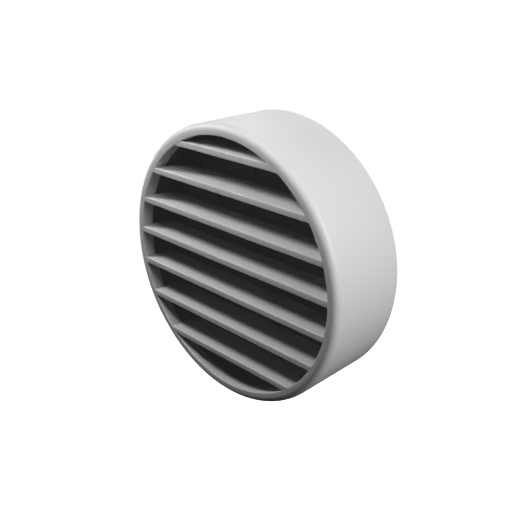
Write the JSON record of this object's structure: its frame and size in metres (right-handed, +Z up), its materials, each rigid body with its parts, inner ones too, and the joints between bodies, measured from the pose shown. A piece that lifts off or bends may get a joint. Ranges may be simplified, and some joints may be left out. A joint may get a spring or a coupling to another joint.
{
  "type": "round louvred air diffuser",
  "caption": "Round air diffuser for a ceiling or wall duct outlet: short drum casing, straight fixed louvre blades level with the rim, rotary volume damper behind, duct collar with lip seal.",
  "frame": {"origin": "centre of the mounting face, in the plane of the ceiling side of the foam gasket", "axes": "+Y is the diffuser's axis, pointing out of the mounting face into the duct; the louvred face looks along -Y; +Z is up and the louvre blades run along X"},
  "size_m": [0.16, 0.07, 0.16],
  "materials": {
    "white_coat": "satin off-white powder coat",
    "black_coat": "matt black powder coat",
    "black_oxide": "black oxide",
    "zinc_sheet": "galvanised sheet",
    "plated_steel": "bright zinc plate",
    "spring_steel": "cold rolled",
    "seal_rubber": "matt",
    "foam": "closed cell foam",
    "nylon": "natural",
    "black_plastic": "fine texture"
  },
  "bodies": {
    "mounting_side": {"mounting_plate": "zinc_sheet", "duct_collar": "zinc_sheet", "collar_rivets": "plated_steel", "collar_seal": "seal_rubber", "ceiling_gasket": "foam", "spring_clips": "spring_steel", "clip_rivets": "plated_steel"},
    "face_unit": {"casing_drum": "white_coat", "blade_carrier": "black_coat", "louvre_blade_1": "white_coat", "louvre_blade_2": "white_coat", "louvre_blade_3": "white_coat", "louvre_blade_4": "white_coat", "louvre_blade_5": "white_coat", "louvre_blade_6": "white_coat", "louvre_blade_7": "white_coat", "carrier_brackets": "zinc_sheet", "carrier_screws": "plated_steel", "damper_seat": "black_coat", "pivot_pin": "black_oxide", "pivot_nut": "plated_steel", "pivot_spacer": "nylon", "friction_washer": "spring_steel"},
    "damper": {"damper_rotor": "black_coat", "damper_knob": "black_plastic"}
  },
  "joints": [
    {"name": "face_pull_off", "type": "slide", "parent": "mounting_side", "child": "face_unit", "axis": [0, -1, 0], "range_m": [0, 0.03]},
    {"name": "damper_turn", "type": "hinge", "parent": "face_unit", "child": "damper", "pos_m": [0, -0.028, 0], "axis": [0, 1, 0], "range_deg": [0, 22.5]}
  ]
}
